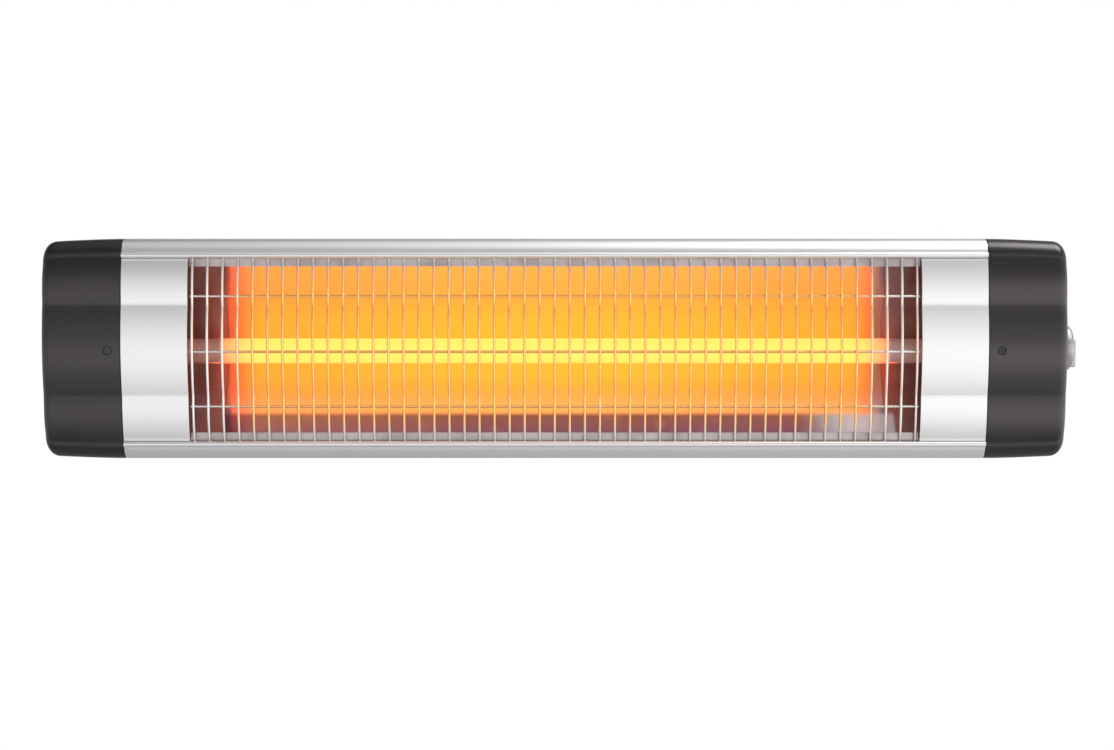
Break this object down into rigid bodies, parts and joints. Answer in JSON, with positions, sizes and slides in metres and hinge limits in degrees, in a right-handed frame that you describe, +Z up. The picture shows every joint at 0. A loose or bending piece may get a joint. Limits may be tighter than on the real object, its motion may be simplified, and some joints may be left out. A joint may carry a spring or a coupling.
{
  "type": "electric bar heater",
  "caption": "Wall-mounted infrared bar heater with a lobed aluminium casing, wire guard, glowing tube, rotary switch knob and tilting brackets.",
  "frame": {"origin": "on the wall, at the centre of the four wall screws and level with the tilt axis", "axes": "+X along the bar towards the knob, -Y out of the wall towards the heater's front, +Z up"},
  "size_m": [0.9048, 0.173, 0.192],
  "materials": {
    "aluminium_shell": "satin anodised",
    "cover_aluminium": "satin anodised",
    "rail_aluminium": "mill finish",
    "cap_plastic": "fine moulded grain",
    "gasket_rubber": "matte",
    "black_screw": "black oxide",
    "guard_steel": "bright drawn wire",
    "reflector_polish": "mirror polished",
    "scorched_steel": "heat tinted",
    "zinc_steel": "zinc plated",
    "quartz_glass": "milky fused quartz",
    "glowing_element": "glowing",
    "ceramic_white": "unglazed ceramic",
    "black_plastic": "moulded",
    "knob_silver": "silver lacquered plastic",
    "brass_metal": "plain",
    "lead_sleeve": "silicone sleeve"
  },
  "bodies": {
    "wall_bracket": {"wall_plate_left": "zinc_steel", "wall_plate_right": "zinc_steel", "pivot_bolts": "zinc_steel", "pivot_nuts": "zinc_steel", "pivot_washers": "zinc_steel"},
    "heater": {"tilt_arm_left": "zinc_steel", "tilt_arm_right": "zinc_steel", "arm_bolts": "zinc_steel", "arm_nuts": "zinc_steel", "casing_top": "aluminium_shell", "casing_bottom": "aluminium_shell", "casing_back": "aluminium_shell", "front_cover_left": "cover_aluminium", "front_cover_right": "cover_aluminium", "end_cap_left": "cap_plastic", "end_cap_right": "cap_plastic", "end_gasket_left": "gasket_rubber", "end_gasket_right": "gasket_rubber", "cap_screws_front": "black_screw", "cap_screws_rear": "black_screw", "guard_wires": "guard_steel", "guard_cross_wires": "guard_steel", "guard_rail_top": "rail_aluminium", "guard_rail_bottom": "rail_aluminium", "reflector": "reflector_polish", "reflector_end_left": "scorched_steel", "reflector_end_right": "scorched_steel", "bulkhead_left": "zinc_steel", "bulkhead_right": "zinc_steel", "bulkhead_rivets": "zinc_steel", "quartz_tube": "quartz_glass", "heating_element": "glowing_element", "tube_socket_left": "ceramic_white", "tube_socket_right": "ceramic_white", "lamp_holder_left": "zinc_steel", "lamp_holder_right": "zinc_steel", "holder_screws": "zinc_steel", "switch_body": "black_plastic", "switch_nut": "brass_metal", "knob_pad": "black_plastic", "terminal_block": "ceramic_white", "terminal_screws": "brass_metal", "thermal_cutout": "zinc_steel", "lead_left": "lead_sleeve", "lead_right": "lead_sleeve", "lead_switch": "lead_sleeve", "lead_earth": "lead_sleeve", "gland_body": "black_plastic", "gland_locknut": "black_plastic", "gland_seal": "gasket_rubber", "gland_nut": "black_plastic"},
    "knob": {"switch_knob": "knob_silver", "switch_shaft": "zinc_steel"}
  },
  "joints": [
    {"name": "tilt", "type": "hinge", "parent": "wall_bracket", "child": "heater", "pos_m": [0, -0.058, 0], "axis": [1, 0, 0], "range_deg": [0, 45]},
    {"name": "knob_turn", "type": "hinge", "parent": "heater", "child": "knob", "pos_m": [0.45, -0.129, 0], "axis": [1, 0, 0], "range_deg": [-90, 180]}
  ]
}
